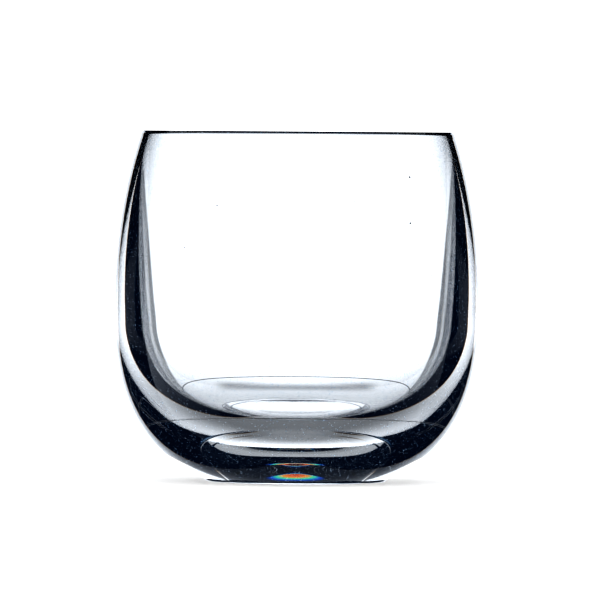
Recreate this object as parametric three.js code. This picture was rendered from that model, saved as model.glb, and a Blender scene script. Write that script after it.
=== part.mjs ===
// A rounded whiskey tumbler, one piece of thick clear glass: millimetres, +Z up, with the origin at
// the centre of the foot, on the surface that the tumbler stands on.
import * as THREE from "three";

// Outside.
const HEIGHT = 85; // foot to the top of the lip
const BELLY_RADIUS = 44.3; // the widest point
const BELLY_HEIGHT = 44.2; // where it is widest
const SHOULDER_RISE = 78.9; // half height of the ellipse that the upper outside follows
const HEEL_POWER = 2.59; // how square the outside is below the belly: 2 is an ellipse
const FOOT_RADIUS = 22.1; // the foot that the tumbler stands on
const FOOT_ROUND = 0.56; // radius of the foot's outer edge

// Inside: a wall that follows an ellipse, a long turn and a nearly flat floor.
const CAVITY_RADIUS = 38.85; // the widest point
const CAVITY_BELLY_HEIGHT = 59.7; // where it is widest
const CAVITY_RISE = 103.8; // half height of the ellipse that the wall follows above that
const CAVITY_DROP = 99.5; // and below it
const LIP_TAPER = 0.3; // how much further than the ellipse the wall closes in at the lip
const TURN_HEIGHT = 37.1; // where the wall starts to turn in
const TURN_WALL_PULL = 16.4; // how far the turn carries on along the wall
const TURN_FLOOR_PULL = 13.3; // and how far it reaches out along the floor
const FLOOR_RADIUS = 12.4; // where the turn meets the floor
const FLOOR_HEIGHT = 11.5; // glass under the middle of the inside
const FLOOR_DISH = 0.22; // how far the floor rises to its edge
const LIP_ROUND = 1; // radius of the fire-polished corners of the lip

// The underside: a flat ring round a very shallow hollow.
const RING_RADIUS = 19.4; // inner edge of the ring
const RING_EDGE = 0.7; // width of the step up from the ring
const PUNT_DEPTH = 0.07; // depth of the hollow

// How finely the curves are stepped.
const TURN_STEPS = 72;
const WALL_STEPS = 6;
const HEEL_STEPS = 14;
const BEND_STEPS = 12;
const CORNER_STEPS = 3;
const FLOOR_STEPS = 2;

const shoulder = HEIGHT - LIP_ROUND;

// The radius of a superellipse at a height: it is widest at centre and closes at centre + rise.
function superellipseRadius(z, radius, centre, rise, power) {
  return radius * (1 - Math.abs((z - centre) / rise) ** power) ** (1 / power);
}

// The rise that brings a superellipse to a given radius at a given height.
function riseThrough(z, atRadius, radius, centre, power) {
  return (z - centre) / (1 - (atRadius / radius) ** power) ** (1 / power);
}

const heelRise = riseThrough(FOOT_ROUND, FOOT_RADIUS, BELLY_RADIUS, BELLY_HEIGHT, HEEL_POWER);

function outsideRadius(z) {
  if (z > BELLY_HEIGHT) {
    return superellipseRadius(z, BELLY_RADIUS, BELLY_HEIGHT, SHOULDER_RISE, 2);
  }
  return superellipseRadius(z, BELLY_RADIUS, BELLY_HEIGHT, heelRise, HEEL_POWER);
}

function insideRadius(z) {
  if (z < CAVITY_BELLY_HEIGHT) {
    return superellipseRadius(z, CAVITY_RADIUS, CAVITY_BELLY_HEIGHT, CAVITY_DROP, 2);
  }
  const share = (z - CAVITY_BELLY_HEIGHT) / (shoulder - CAVITY_BELLY_HEIGHT);
  const radius = superellipseRadius(z, CAVITY_RADIUS, CAVITY_BELLY_HEIGHT, CAVITY_RISE, 2);
  return radius - LIP_TAPER * share ** 3;
}

// Evenly spaced points up a wall between two heights.
function wallPoints(radiusAt, low, high) {
  const points = [];
  for (let i = 0; i <= WALL_STEPS; i += 1) {
    const z = THREE.MathUtils.lerp(low, high, i / WALL_STEPS);
    points.push(new THREE.Vector2(radiusAt(z), z));
  }
  return points;
}

// Points up the outside to the belly, closest together at the bottom, where it curves most.
function heelPoints() {
  const points = [];
  for (let i = 0; i <= HEEL_STEPS; i += 1) {
    const rise = 1 - Math.cos((i / HEEL_STEPS) * (Math.PI / 2));
    const z = THREE.MathUtils.lerp(FOOT_ROUND, BELLY_HEIGHT, rise);
    points.push(new THREE.Vector2(outsideRadius(z), z));
  }
  return points;
}

// A round corner about a centre, turning from one angle to another, in degrees from outwards.
function cornerPoints(centreRadius, centreZ, round, from, to) {
  const curve = new THREE.EllipseCurve(
    centreRadius, centreZ, round, round,
    THREE.MathUtils.degToRad(from), THREE.MathUtils.degToRad(to),
  );
  return curve.getPoints(CORNER_STEPS);
}

// The long turn from the inside wall into the floor, which starts along both.
function turnPoints() {
  const wall = new THREE.Vector2(insideRadius(TURN_HEIGHT), TURN_HEIGHT);
  const below = new THREE.Vector2(insideRadius(TURN_HEIGHT - 1), TURN_HEIGHT - 1);
  const wallWay = below.sub(wall).normalize();
  const floor = new THREE.Vector2(FLOOR_RADIUS, FLOOR_HEIGHT + FLOOR_DISH);
  const floorWay = new THREE.Vector2(FLOOR_RADIUS, 2 * FLOOR_DISH).normalize();
  const curve = new THREE.CubicBezierCurve(
    wall,
    wall.clone().addScaledVector(wallWay, TURN_WALL_PULL),
    floor.clone().addScaledVector(floorWay, TURN_FLOOR_PULL),
    floor,
  );
  return curve.getPoints(BEND_STEPS);
}

// The floor, from its edge in to the middle, dished as a parabola.
function floorPoints() {
  const points = [];
  for (let i = 0; i <= FLOOR_STEPS; i += 1) {
    const share = 1 - i / FLOOR_STEPS;
    points.push(new THREE.Vector2(FLOOR_RADIUS * share, FLOOR_HEIGHT + FLOOR_DISH * share ** 2));
  }
  return points;
}

// The half section, from the middle of the underside round the outside, over the lip and down to
// the middle of the floor.
function tumblerProfile() {
  return [
    new THREE.Vector2(0, PUNT_DEPTH),
    new THREE.Vector2(RING_RADIUS - RING_EDGE, PUNT_DEPTH),
    new THREE.Vector2(RING_RADIUS, 0),
    ...cornerPoints(FOOT_RADIUS - FOOT_ROUND, FOOT_ROUND, FOOT_ROUND, -90, 0),
    ...heelPoints().slice(1),
    ...wallPoints(outsideRadius, BELLY_HEIGHT, shoulder).slice(1, -1),
    ...cornerPoints(outsideRadius(shoulder) - LIP_ROUND, shoulder, LIP_ROUND, 0, 90),
    ...cornerPoints(insideRadius(shoulder) + LIP_ROUND, shoulder, LIP_ROUND, 90, 180),
    ...wallPoints(insideRadius, TURN_HEIGHT, shoulder).reverse().slice(1, -1),
    ...turnPoints(),
    ...floorPoints().slice(1),
  ];
}

const glass = new THREE.MeshStandardMaterial({ color: 0xeef3f4, roughness: 0.02, metalness: 0 });

const body = new THREE.Mesh(new THREE.LatheGeometry(tumblerProfile(), TURN_STEPS), glass);
body.name = "tumbler_body";
body.rotation.x = Math.PI / 2;

const tumbler = new THREE.Group();
tumbler.add(body);

export default tumbler;
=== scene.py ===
"""A whiskey tumbler of thick clear glass in a bright-field studio. Metres, +Z up, in the CAD frame."""

import math

import bmesh
import bpy
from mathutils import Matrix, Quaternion, Vector
from mathutils.geometry import interpolate_bezier


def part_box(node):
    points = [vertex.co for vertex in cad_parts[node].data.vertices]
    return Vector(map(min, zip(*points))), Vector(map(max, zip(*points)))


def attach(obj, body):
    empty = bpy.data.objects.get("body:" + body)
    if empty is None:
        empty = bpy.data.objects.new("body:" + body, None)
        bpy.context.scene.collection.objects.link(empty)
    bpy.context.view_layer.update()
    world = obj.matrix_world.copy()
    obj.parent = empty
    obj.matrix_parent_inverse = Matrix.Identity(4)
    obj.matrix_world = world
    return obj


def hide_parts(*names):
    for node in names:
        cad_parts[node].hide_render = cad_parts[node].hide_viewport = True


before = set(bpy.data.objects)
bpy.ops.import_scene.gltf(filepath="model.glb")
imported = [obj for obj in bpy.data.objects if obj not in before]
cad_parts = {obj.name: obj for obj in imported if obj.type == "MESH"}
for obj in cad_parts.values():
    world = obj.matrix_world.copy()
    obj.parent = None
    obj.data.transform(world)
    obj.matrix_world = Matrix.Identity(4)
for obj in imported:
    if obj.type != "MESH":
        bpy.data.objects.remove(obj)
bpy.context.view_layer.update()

BODY = "tumbler_body"
low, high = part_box(BODY)
HEIGHT = high.z - low.z
AXIS = Vector(((low.x + high.x) / 2, (low.y + high.y) / 2, low.z))

# The outline's driving dimensions, in millimetres for a glass 85 high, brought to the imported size.
UNIT = HEIGHT / 85
BELLY_RADIUS = (high.x - low.x) / 2
BELLY_HEIGHT = 44.2 * UNIT
SHOULDER_RISE = 78.9 * UNIT
HEEL_POWER = 2.59
FOOT_RADIUS = 22.1 * UNIT
FOOT_ROUND = 0.56 * UNIT
CAVITY_RADIUS = 38.85 * UNIT
CAVITY_BELLY_HEIGHT = 59.7 * UNIT
CAVITY_RISE = 103.8 * UNIT
CAVITY_DROP = 99.5 * UNIT
LIP_TAPER = 0.3 * UNIT
TURN_HEIGHT = 37.1 * UNIT
TURN_WALL_PULL = 16.4 * UNIT
TURN_FLOOR_PULL = 13.3 * UNIT
FLOOR_RADIUS = 12.4 * UNIT
FLOOR_HEIGHT = 11.5 * UNIT
FLOOR_DISH = 0.22 * UNIT
LIP_ROUND = 1 * UNIT
RING_RADIUS = 19.4 * UNIT
RING_EDGE = 0.7 * UNIT
PUNT_DEPTH = 0.07 * UNIT

# How finely the curves are stepped, and the radius below which a point lies on the axis.
TURN_STEPS = 384
WALL_STEPS = 48
BOWL_STEPS = 64
CORNER_STEPS = 8
FLOOR_STEPS = 20
ON_AXIS = 1e-7


# Camera: level with the lip, aimed a little above the middle of the glass.
CAMERA_DISTANCE = 2.1
CAMERA_HEIGHT = HEIGHT
AIM = Vector((0.0008, 0, 0.044))
FRAME_WIDTH = 0.1459
SENSOR_WIDTH = 36
CAMERA_ROLL = math.radians(0.4)


def add_camera():
    data = bpy.data.cameras.new("camera")
    data.sensor_width = SENSOR_WIDTH
    place = AXIS + Vector((AIM.x, -CAMERA_DISTANCE, CAMERA_HEIGHT))
    aim = AXIS + AIM
    data.lens = SENSOR_WIDTH * (aim - place).length / FRAME_WIDTH
    data.clip_start = 0.01
    data.clip_end = 50
    camera = bpy.data.objects.new("camera", data)
    camera.location = place
    turn = (aim - place).to_track_quat("-Z", "Y")
    camera.rotation_euler = (turn @ Quaternion((0, 0, 1), CAMERA_ROLL)).to_euler()
    bpy.context.scene.collection.objects.link(camera)
    bpy.context.scene.camera = camera


add_camera()


# Outline.

def superellipse_radius(z, radius, centre, rise, power):
    return radius * max(0.0, 1 - abs((z - centre) / rise) ** power) ** (1 / power)


def rise_through(z, at_radius, radius, centre, power):
    return (z - centre) / (1 - (at_radius / radius) ** power) ** (1 / power)


HEEL_RISE = rise_through(FOOT_ROUND, FOOT_RADIUS, BELLY_RADIUS, BELLY_HEIGHT, HEEL_POWER)
SHOULDER = HEIGHT - LIP_ROUND


def outside_radius(z):
    if z > BELLY_HEIGHT:
        return superellipse_radius(z, BELLY_RADIUS, BELLY_HEIGHT, SHOULDER_RISE, 2)
    return superellipse_radius(z, BELLY_RADIUS, BELLY_HEIGHT, HEEL_RISE, HEEL_POWER)


def inside_radius(z):
    if z < CAVITY_BELLY_HEIGHT:
        return superellipse_radius(z, CAVITY_RADIUS, CAVITY_BELLY_HEIGHT, CAVITY_DROP, 2)
    share = (z - CAVITY_BELLY_HEIGHT) / (SHOULDER - CAVITY_BELLY_HEIGHT)
    radius = superellipse_radius(z, CAVITY_RADIUS, CAVITY_BELLY_HEIGHT, CAVITY_RISE, 2)
    return radius - LIP_TAPER * share**3


def wall_points(radius_at, low_z, high_z):
    heights = [low_z + (high_z - low_z) * i / WALL_STEPS for i in range(WALL_STEPS + 1)]
    return [(radius_at(z), z) for z in heights]


def heel_points():
    """Up the outside to the belly, closest together at the bottom, where it curves most."""
    points = []
    for i in range(BOWL_STEPS + 1):
        rise = 1 - math.cos(i / BOWL_STEPS * math.pi / 2)
        z = FOOT_ROUND + (BELLY_HEIGHT - FOOT_ROUND) * rise
        points.append((outside_radius(z), z))
    return points


def corner_points(centre_radius, centre_z, size, start, end):
    points = []
    for i in range(CORNER_STEPS + 1):
        angle = math.radians(start + (end - start) * i / CORNER_STEPS)
        points.append((centre_radius + size * math.cos(angle), centre_z + size * math.sin(angle)))
    return points


def turn_points():
    """The Bezier curve that takes the inside wall into the floor, along both at its ends."""
    wall = Vector((inside_radius(TURN_HEIGHT), TURN_HEIGHT))
    wall_way = (Vector((inside_radius(TURN_HEIGHT - UNIT), TURN_HEIGHT - UNIT)) - wall).normalized()
    floor = Vector((FLOOR_RADIUS, FLOOR_HEIGHT + FLOOR_DISH))
    floor_way = Vector((FLOOR_RADIUS, 2 * FLOOR_DISH)).normalized()
    handles = (wall, wall + wall_way * TURN_WALL_PULL, floor + floor_way * TURN_FLOOR_PULL, floor)
    return [tuple(point) for point in interpolate_bezier(*handles, BOWL_STEPS + 1)]


def floor_points():
    shares = [1 - i / FLOOR_STEPS for i in range(FLOOR_STEPS + 1)]
    return [(FLOOR_RADIUS * s, FLOOR_HEIGHT + FLOOR_DISH * s * s) for s in shares]


def punt_points():
    """The shallow flat hollow under the base, with a soft step down to the ring round it."""
    points = [(0, PUNT_DEPTH)]
    for i in range(CORNER_STEPS + 1):
        share = i / CORNER_STEPS
        radius = RING_RADIUS - RING_EDGE * (1 - share)
        points.append((radius, PUNT_DEPTH * (1 + math.cos(math.pi * share)) / 2))
    return points


def tumbler_stretches():
    """The half section from under the base round the outside and over the lip to the floor, in
    stretches that meet at a crease."""
    upper = heel_points()
    upper += wall_points(outside_radius, BELLY_HEIGHT, SHOULDER)[1:-1]
    upper += corner_points(outside_radius(SHOULDER) - LIP_ROUND, SHOULDER, LIP_ROUND, 0, 90)
    upper += corner_points(inside_radius(SHOULDER) + LIP_ROUND, SHOULDER, LIP_ROUND, 90, 180)
    upper += wall_points(inside_radius, TURN_HEIGHT, SHOULDER)[-2:0:-1]
    upper += turn_points()
    upper += floor_points()[1:]
    ring = [(RING_RADIUS, 0), (FOOT_RADIUS - FOOT_ROUND, 0)]
    foot = corner_points(FOOT_RADIUS - FOOT_ROUND, FOOT_ROUND, FOOT_ROUND, -90, 0)
    return [punt_points(), ring, foot, upper]


def lathe(name, stretches):
    """A closed mesh of revolution about the glass's axis, smooth along each stretch."""
    mesh = bmesh.new()
    outline = stretches[0][:]
    creases = []
    for stretch in stretches[1:]:
        creases.append(len(outline) - 1)
        outline += stretch[1:]
    rings = []
    for radius, z in outline:
        if radius < ON_AXIS:
            rings.append([mesh.verts.new(AXIS + Vector((0, 0, z)))])
            continue
        ring = []
        for k in range(TURN_STEPS):
            angle = 2 * math.pi * k / TURN_STEPS
            point = Vector((radius * math.cos(angle), radius * math.sin(angle), z))
            ring.append(mesh.verts.new(AXIS + point))
        rings.append(ring)
    for below, above in zip(rings, rings[1:]):
        for k in range(TURN_STEPS):
            after = (k + 1) % TURN_STEPS
            if len(below) == 1:
                mesh.faces.new((below[0], above[after], above[k]))
            elif len(above) == 1:
                mesh.faces.new((below[k], below[after], above[0]))
            else:
                mesh.faces.new((below[k], below[after], above[after], above[k]))
    for face in mesh.faces:
        face.smooth = True
    for crease in creases:
        ring = rings[crease]
        for vert, after in zip(ring, ring[1:] + ring[:1]):
            mesh.edges.get((vert, after)).smooth = False
    data = bpy.data.meshes.new(name)
    mesh.to_mesh(data)
    mesh.free()
    piece = bpy.data.objects.new(name, data)
    bpy.context.scene.collection.objects.link(piece)
    return piece


# Materials.

class Graph:
    """Short calls for building a node tree."""

    def __init__(self, tree):
        self.nodes, self.links = tree.nodes, tree.links
        self.nodes.clear()

    def add(self, kind, inputs=None, **values):
        node = self.nodes.new(kind)
        for key, value in values.items():
            setattr(node, key, value)
        for key, value in (inputs or {}).items():
            self.feed(node.inputs[key], value)
        return node

    def feed(self, socket, value):
        if isinstance(value, bpy.types.NodeSocket):
            self.links.new(value, socket)
        else:
            socket.default_value = value

    def maths(self, operation, *values):
        node = self.add("ShaderNodeMath", operation=operation)
        for socket, value in zip(node.inputs, values):
            self.feed(socket, value)
        return node.outputs[0]

    def dot(self, vector, axis):
        node = self.add("ShaderNodeVectorMath", {0: vector, 1: axis}, operation="DOT_PRODUCT")
        return node.outputs["Value"]

    def ramp(self, value, start, end, low=0.0, high=1.0, smooth=True):
        """low at start to high at end, held beyond them."""
        node = self.add("ShaderNodeMapRange", clamp=True)
        node.interpolation_type = "SMOOTHSTEP" if smooth else "LINEAR"
        for socket, number in zip(node.inputs, (value, start, end, low, high)):
            self.feed(socket, number)
        return node.outputs[0]

    def fade(self, value, middle, reach):
        """1 below the middle and 0 above it, over a soft edge of the given reach each way."""
        return self.ramp(value, middle - reach, middle + reach, 1, 0)

    def degrees(self, angle):
        return self.maths("MULTIPLY", angle, 180 / math.pi)

    def blend(self, amount, below, above, mode="MIX"):
        inputs = {0: amount, 6: below, 7: above}
        return self.add("ShaderNodeMix", inputs, data_type="RGBA", blend_type=mode).outputs[2]


GLASS_INDEX = 1.5

# Dust: cells per metre along a line with a mote in each, the share of them that show, the largest
# radius as a share of a cell, and how much the brightest hides.
DUST_SCALE = 1500
DUST_SHOWN = 0.9
DUST_RADIUS = 0.3
DUST_COVER = 0.28
DUST_COLOUR = (0.5, 0.75, 1, 1)

# Marks in the surface: a few spots and hair scratches. Also a thin dark ring painted round the bottom of
# the bowl at one height, which shows only in the bowl, inside a radius that is well short of the wall.
MARK_COVER = 0.6
MARK_COLOUR = (0.02, 0.025, 0.035, 1)
SCRATCH_COLOUR = (0.2, 0.22, 0.26, 1)
HAIR_WIDTH = 0.00013
SCRATCH_DEPTH = 0.0008
DARK_RING_HEIGHT = 17.9 * UNIT
DARK_RING_WIDTH = 0.00011
DARK_RING_LIMIT = CAVITY_RADIUS - 4 * UNIT

# Each spot: the way that it lies from the axis, clockwise from +Y in degrees, its height and its
# radius. The core is the share of the radius that is solid.
SPOT_CORE = 0.6
SPOTS = (
    (139, 0.0742, 0.00034),
    (141, 0.0632, 0.00034),
    (-129, 0.0690, 0.00022),
    (-142, 0.0570, 0.00024),
    (-30, 0.0610, 0.00025),
    (60, 0.0470, 0.00028),
)

# Each scratch: its way and height as for a spot, how far it leans to the right of upright in degrees,
# its length, and its bow as a curvature.
SCRATCHES = (
    (-124, 0.0195, -50, 0.0100, 10),
    (-121, 0.0188, -58, 0.0070, -16),
    (121, 0.0048, -25, 0.0035, 60),
    (118, 0.0056, 55, 0.0018, 0),
    (100, 0.0520, 12, 0.0050, 18),
    (35, 0.0300, 40, 0.0060, 10),
)


def outside_place(way, height):
    """The point of the outside at a way and height, with the ways out, round and up the surface."""
    way = math.radians(way)
    level = Vector((math.sin(way), math.cos(way), 0))
    place = AXIS + level * outside_radius(height) + Vector((0, 0, height))
    slope = (outside_radius(height + UNIT) - outside_radius(height)) / UNIT
    up = (Vector((0, 0, 1)) + level * slope).normalized()
    across = Vector((0, 0, 1)).cross(level)
    return place, across.cross(up), across, up


def spot_mask(graph, point, way, height, size):
    """1 in a small round spot on the outside, and 0 elsewhere."""
    place = outside_place(way, height)[0]
    far = graph.add("ShaderNodeVectorMath", {0: point, 1: place}, operation="DISTANCE")
    return graph.ramp(far.outputs["Value"], size * SPOT_CORE, size, 1, 0)


def scratch_mask(graph, point, way, height, lean, length, bow):
    """1 along a short bowed hair line on the outside, and 0 elsewhere."""
    place, out, across, up = outside_place(way, height)
    lean = math.radians(lean)
    along = up * math.cos(lean) + across * math.sin(lean)
    offset = graph.add("ShaderNodeVectorMath", {0: point, 1: place}, operation="SUBTRACT").outputs[0]
    run, drift, depth = (graph.dot(offset, axis) for axis in (along, along.cross(out), out))
    drift = graph.maths("SUBTRACT", drift, graph.maths("MULTIPLY", graph.maths("POWER", run, 2), bow))
    line = graph.fade(graph.maths("ABSOLUTE", drift), HAIR_WIDTH / 2, HAIR_WIDTH / 2)
    ends = graph.fade(graph.maths("ABSOLUTE", run), length / 2, length / 5)
    near = graph.fade(graph.maths("ABSOLUTE", depth), SCRATCH_DEPTH, SCRATCH_DEPTH / 4)
    return graph.maths("MULTIPLY", line, graph.maths("MULTIPLY", ends, near))


def ring_mask(graph, point):
    """The thin dark ring painted round the bottom of the bowl, at one height."""
    x, y, z = graph.add("ShaderNodeSeparateXYZ", {0: point}).outputs
    off = graph.maths("ABSOLUTE", graph.maths("SUBTRACT", z, AXIS.z + DARK_RING_HEIGHT))
    squares = graph.maths("ADD", graph.maths("POWER", x, 2), graph.maths("POWER", y, 2))
    inside = graph.fade(graph.maths("SQRT", squares), DARK_RING_LIMIT, UNIT / 2)
    return graph.maths("MULTIPLY", graph.fade(off, DARK_RING_WIDTH, DARK_RING_WIDTH / 2), inside)


def dust_mask(graph, point):
    """Round motes at random places, of which only a share show, the larger ones the brighter."""
    cells = graph.add("ShaderNodeTexVoronoi", {"Vector": point, "Scale": DUST_SCALE})
    chance = graph.add("ShaderNodeSeparateColor", {0: cells.outputs["Color"]}).outputs[0]
    strength = graph.ramp(chance, 1 - DUST_SHOWN, 1, 0, 1, smooth=False)
    size = graph.maths("MAXIMUM", graph.maths("MULTIPLY", strength, DUST_RADIUS), DUST_RADIUS / 100)
    nearness = graph.maths("DIVIDE", cells.outputs["Distance"], size)
    return graph.maths("MULTIPLY", graph.ramp(nearness, 0.5, 1, 1, 0), strength)


def glass_material():
    """Clear glass with motes of dust, spots, hair scratches and a painted dark ring in the bowl."""
    material = bpy.data.materials.new("clear_glass")
    material.use_nodes = True
    graph = Graph(material.node_tree)
    point = graph.add("ShaderNodeTexCoord").outputs["Object"]
    dust = dust_mask(graph, point)
    scratches = 0
    for scratch in SCRATCHES:
        scratches = graph.maths("MAXIMUM", scratches, scratch_mask(graph, point, *scratch))
    # The thin dark ring in the bowl is painted into the colour along with the spots.
    marks = ring_mask(graph, point)
    for spot in SPOTS:
        marks = graph.maths("MAXIMUM", marks, spot_mask(graph, point, *spot))
    colour = graph.blend(dust, (1, 1, 1, 1), DUST_COLOUR)
    colour = graph.blend(scratches, colour, SCRATCH_COLOUR)
    colour = graph.blend(marks, colour, MARK_COLOUR)
    dust_cover = graph.maths("MULTIPLY", dust, DUST_COVER)
    mark_cover = graph.maths("MULTIPLY", graph.maths("MAXIMUM", scratches, marks), MARK_COVER)
    cover = graph.maths("MAXIMUM", dust_cover, mark_cover)
    inputs = {
        "Base Color": colour,
        "Transmission Weight": graph.maths("SUBTRACT", 1, cover),
        "Roughness": 0,
        "IOR": GLASS_INDEX,
    }
    shader = graph.add("ShaderNodeBsdfPrincipled", inputs)
    graph.add("ShaderNodeOutputMaterial", {"Surface": shader.outputs[0]})
    return material


# Studio. The card straight behind is white in the middle and grey at its sides, and wider where it is
# mirrored. Angles are in degrees, as seen from the glass.
#
# This is not plain soft light. The cards and patches are placed for the front view and for the views
# from azimuth and elevation 45,25; 225,15; 90,3 and 0,3. From other sides the dark surround shows
# through the clear glass, which looks nearly black from 135,25 and 315,15 and smoked from 0,60.

WHITE_HALF_WIDTH = 16.5
GREY_HALF_WIDTH = 22.2
MIRRORED_HALF_WIDTH = 22.6
WHITE_EDGE = 1
GREY_EDGE = 1.2
GREY_LEVELS = (0.22, 0.36)
GREY_RAMP = (18, 21)

# How much wider the mirrored card is in red, green and blue.
FRINGES = (0.2, 0, -0.2)

# The soft grey bar across the card: its way and height, its half size, and how much it takes off.
BAR_DIRECTION = (0, -25.5)
BAR_HALF_SIZE = (5, 4)
BAR_SHADE = 0.55

# How the cards fade: at the top, down below the level of the floor, and on paths mirrored many times.
TOP_EDGE = 5
LOW_FADE = (4, 47)
LOW_LEVEL = 0.17
DEEP_MIRRORINGS = (2, 3)
DEEP_LEVEL = 0.3
LAST_MIRRORINGS = (4, 5)

# Each card: the way that it lies from the glass, clockwise from +Y, and how high it reaches, in
# degrees, and how bright it is. The first is for the front, and the rest for the sides and back.
CARDS = ((0, 70, 1.0), (-90, 3, 1.0), (90, -6, 0.4), (180, -6, 0.4))

# Each white patch below the level of the floor that shows only straight through the glass: the way
# that it lies, its half width and how high it reaches, in degrees. One is for the view from 45,25 and
# the other for 225,15.
PATCHES = ((-45, 14, -26), (135, 28, -14))
PATCH_EDGE = 4

CARD_COLOUR = (0.89, 0.94, 1, 1)
DARK_COLOUR = (0.002, 0.006, 0.016, 1)
OVERHEAD_COLOUR = (0.12, 0.18, 0.26, 1)
OVERHEAD_EDGE = (45, 65)
DOME_STRENGTH = 1.15

# The spectrum that the foot shows: the mirrorings from which it is seen, where it lies, how far its
# ends bend up, and its colours from the top down.
SPECTRUM_MIRRORINGS = (7, 8)
SPECTRUM_BEND = 0.7
SPECTRUM_WAY = 180
SPECTRUM_TOP = 65
SPECTRUM_HEIGHT = 8.5
SPECTRUM_HALF_WIDTH = 17
SPECTRUM = (
    (0.0, (0.002, 0.006, 0.016, 1)),
    (0.08, (0.4, 0.05, 0.03, 1)),
    (0.25, (0.55, 0.22, 0.05, 1)),
    (0.45, (0.06, 0.48, 0.28, 1)),
    (0.7, (0.005, 0.08, 0.42, 1)),
    (1.0, (0.002, 0.006, 0.016, 1)),
)


def angle_from(graph, azimuth, way):
    return graph.maths("ABSOLUTE", graph.maths("WRAP", graph.maths("SUBTRACT", azimuth, way), 180, -180))


def card_level(graph, azimuth, elevation, straight, way, top, brightness, fringe=0):
    """White in the middle up to a soft top edge, with grey sides that show only straight through.
    A fringe makes the card wider by that many degrees where it is mirrored."""
    off = angle_from(graph, azimuth, way)
    white = graph.fade(off, WHITE_HALF_WIDTH, WHITE_EDGE)
    grey = graph.ramp(off, *GREY_RAMP, *GREY_LEVELS)
    grey = graph.maths("MULTIPLY", graph.fade(off, GREY_HALF_WIDTH, GREY_EDGE), grey)
    mirrored = graph.fade(graph.maths("SUBTRACT", off, fringe), MIRRORED_HALF_WIDTH, WHITE_EDGE)
    across = graph.ramp(straight, 0, 1, mirrored, graph.maths("MAXIMUM", white, grey))
    height = graph.maths("MULTIPLY", graph.fade(elevation, top, TOP_EDGE), brightness)
    return graph.maths("MULTIPLY", across, height)


def patch_level(graph, azimuth, elevation, way, half_width, top):
    width = graph.fade(angle_from(graph, azimuth, way), half_width, PATCH_EDGE)
    return graph.maths("MULTIPLY", width, graph.fade(elevation, top, PATCH_EDGE))


def bar_shade(graph, azimuth, elevation, straight):
    """A soft grey bar across the card, low down, that shows only straight through."""
    way, height = BAR_DIRECTION
    half_width, half_height = BAR_HALF_SIZE
    across = graph.fade(angle_from(graph, azimuth, way), half_width, half_width / 4)
    off = graph.maths("ABSOLUTE", graph.maths("SUBTRACT", elevation, height))
    shade = graph.maths("MULTIPLY", across, graph.fade(off, half_height / 2, half_height / 2))
    return graph.ramp(graph.maths("MULTIPLY", shade, straight), 0, 1, 1, 1 - BAR_SHADE, smooth=False)


def spectrum(graph, azimuth, elevation, mirrorings):
    """Bands of colour that bend up at their ends, dark except on paths mirrored many times."""
    off = graph.maths("DIVIDE", angle_from(graph, azimuth, SPECTRUM_WAY), SPECTRUM_HALF_WIDTH)
    drop = graph.maths("DIVIDE", graph.maths("SUBTRACT", SPECTRUM_TOP, elevation), SPECTRUM_HEIGHT)
    place = graph.maths("ADD", drop, graph.maths("MULTIPLY", graph.maths("POWER", off, 2), SPECTRUM_BEND))
    colours = graph.add("ShaderNodeValToRGB", {0: place})
    stops = colours.color_ramp.elements
    while len(stops) < len(SPECTRUM):
        stops.new(1)
    for stop, (position, colour) in zip(stops, SPECTRUM):
        stop.position = position
        stop.color = colour
    seen = graph.ramp(mirrorings, *SPECTRUM_MIRRORINGS)
    return graph.blend(seen, (0, 0, 0, 1), colours.outputs[0])


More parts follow.
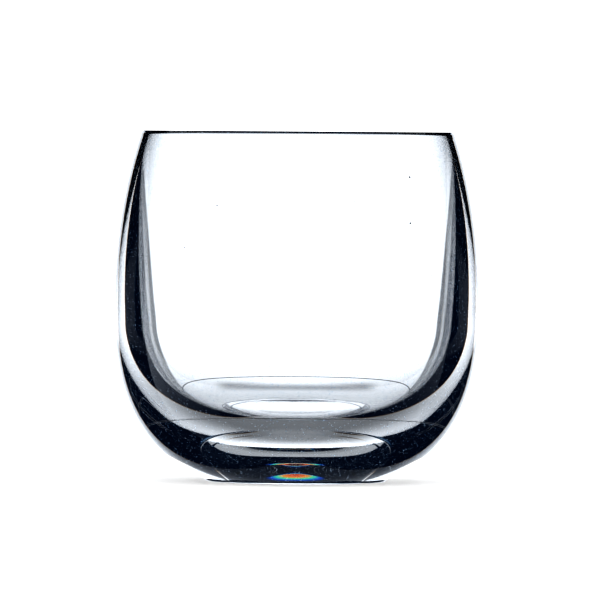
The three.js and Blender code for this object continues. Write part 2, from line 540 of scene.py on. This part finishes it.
def add_world():
    """An even white dome for the camera and the floor, and cards in the dark for the glass."""
    world = bpy.data.worlds.new("studio")
    bpy.context.scene.world = world
    world.use_nodes = True
    graph = Graph(world.node_tree)
    direction = graph.add("ShaderNodeTexCoord").outputs["Generated"]
    x, y, z = graph.add("ShaderNodeSeparateXYZ", {0: direction}).outputs
    azimuth = graph.degrees(graph.maths("ARCTAN2", x, y))
    elevation = graph.degrees(graph.maths("ARCSINE", z))
    path = graph.add("ShaderNodeLightPath").outputs
    mirrorings = path["Glossy Depth"]
    straight = graph.ramp(mirrorings, 0, 1, 1, 0)
    low = graph.ramp(graph.maths("MULTIPLY", elevation, -1), *LOW_FADE, 1, LOW_LEVEL)
    low = graph.maths("MULTIPLY", low, graph.ramp(mirrorings, *DEEP_MIRRORINGS, 1, DEEP_LEVEL))
    low = graph.maths("MULTIPLY", low, graph.ramp(mirrorings, *LAST_MIRRORINGS, 1, 0))
    low = graph.maths("MULTIPLY", low, bar_shade(graph, azimuth, elevation, straight))
    around = 0
    for card in CARDS[1:]:
        around = graph.maths("MAXIMUM", around, card_level(graph, azimuth, elevation, straight, *card))
    patches = 0
    for patch in PATCHES:
        shown = graph.maths("MULTIPLY", straight, patch_level(graph, azimuth, elevation, *patch))
        patches = graph.maths("MAXIMUM", patches, shown)
    levels = []
    turn = graph.ramp(mirrorings, 1, 2, 1, -1)
    for fringe in FRINGES:
        fringe = graph.maths("MULTIPLY", turn, fringe)
        level = card_level(graph, azimuth, elevation, straight, *CARDS[0], fringe=fringe)
        level = graph.maths("MULTIPLY", graph.maths("MAXIMUM", level, around), low)
        levels.append(graph.maths("MAXIMUM", level, patches))
    cards = graph.add("ShaderNodeCombineColor", dict(enumerate(levels))).outputs[0]
    cards = graph.blend(1, cards, CARD_COLOUR, "MULTIPLY")
    overhead = graph.ramp(elevation, *OVERHEAD_EDGE, 0, 1)
    overhead = graph.maths("MULTIPLY", overhead, graph.ramp(mirrorings, *DEEP_MIRRORINGS, 1, 0))
    surroundings = graph.blend(overhead, DARK_COLOUR, OVERHEAD_COLOUR)
    surroundings = graph.blend(1, surroundings, cards, "LIGHTEN")
    surroundings = graph.blend(1, surroundings, spectrum(graph, azimuth, elevation, mirrorings), "LIGHTEN")
    dome = graph.maths("MAXIMUM", path["Is Camera Ray"], graph.maths("MINIMUM", path["Diffuse Depth"], 1))
    colour = graph.blend(dome, surroundings, (1, 1, 1, 1))
    light = graph.add("ShaderNodeBackground", {"Color": colour, "Strength": DOME_STRENGTH})
    graph.add("ShaderNodeOutputWorld", {"Surface": light.outputs[0]})


add_world()


FLOOR_SIZE = 3.0
FLOOR_GAP = 0.0002
FLOOR_COLOUR = (0.74, 0.74, 0.74, 1)


def floor_material():
    """Plain and pale, but clear to what the glass bends or mirrors, which sees the cards through it."""
    material = bpy.data.materials.new("studio_floor")
    material.use_nodes = True
    graph = Graph(material.node_tree)
    path = graph.add("ShaderNodeLightPath").outputs
    bent = graph.maths("ADD", path["Transmission Depth"], path["Glossy Depth"])
    clear = graph.add("ShaderNodeBsdfTransparent")
    plain = graph.add("ShaderNodeBsdfDiffuse", {"Color": FLOOR_COLOUR})
    shares = {0: graph.maths("MINIMUM", bent, 1), 1: plain.outputs[0], 2: clear.outputs[0]}
    mix = graph.add("ShaderNodeMixShader", shares)
    graph.add("ShaderNodeOutputMaterial", {"Surface": mix.outputs[0]})
    return material


def add_floor():
    mesh = bmesh.new()
    corners = [(-1, -1), (1, -1), (1, 1), (-1, 1)]
    mesh.faces.new([mesh.verts.new((FLOOR_SIZE * x, FLOOR_SIZE * y, 0)) for x, y in corners])
    data = bpy.data.meshes.new("floor")
    mesh.to_mesh(data)
    mesh.free()
    data.materials.append(floor_material())
    floor = bpy.data.objects.new("floor", data)
    floor.location = AXIS - Vector((0, 0, FLOOR_GAP))
    bpy.context.scene.collection.objects.link(floor)


add_floor()

# Strong contrast, and enough bounces for the light that is mirrored many times in the foot.
scene = bpy.context.scene
scene.view_settings.view_transform = "Standard"
scene.view_settings.look = "Very High Contrast"
scene.cycles.max_bounces = 16
scene.cycles.glossy_bounces = 12
scene.cycles.transmission_bounces = 16

tumbler = lathe("tumbler_glass", tumbler_stretches())
tumbler.data.materials.append(glass_material())
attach(tumbler, "root")
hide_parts(BODY)
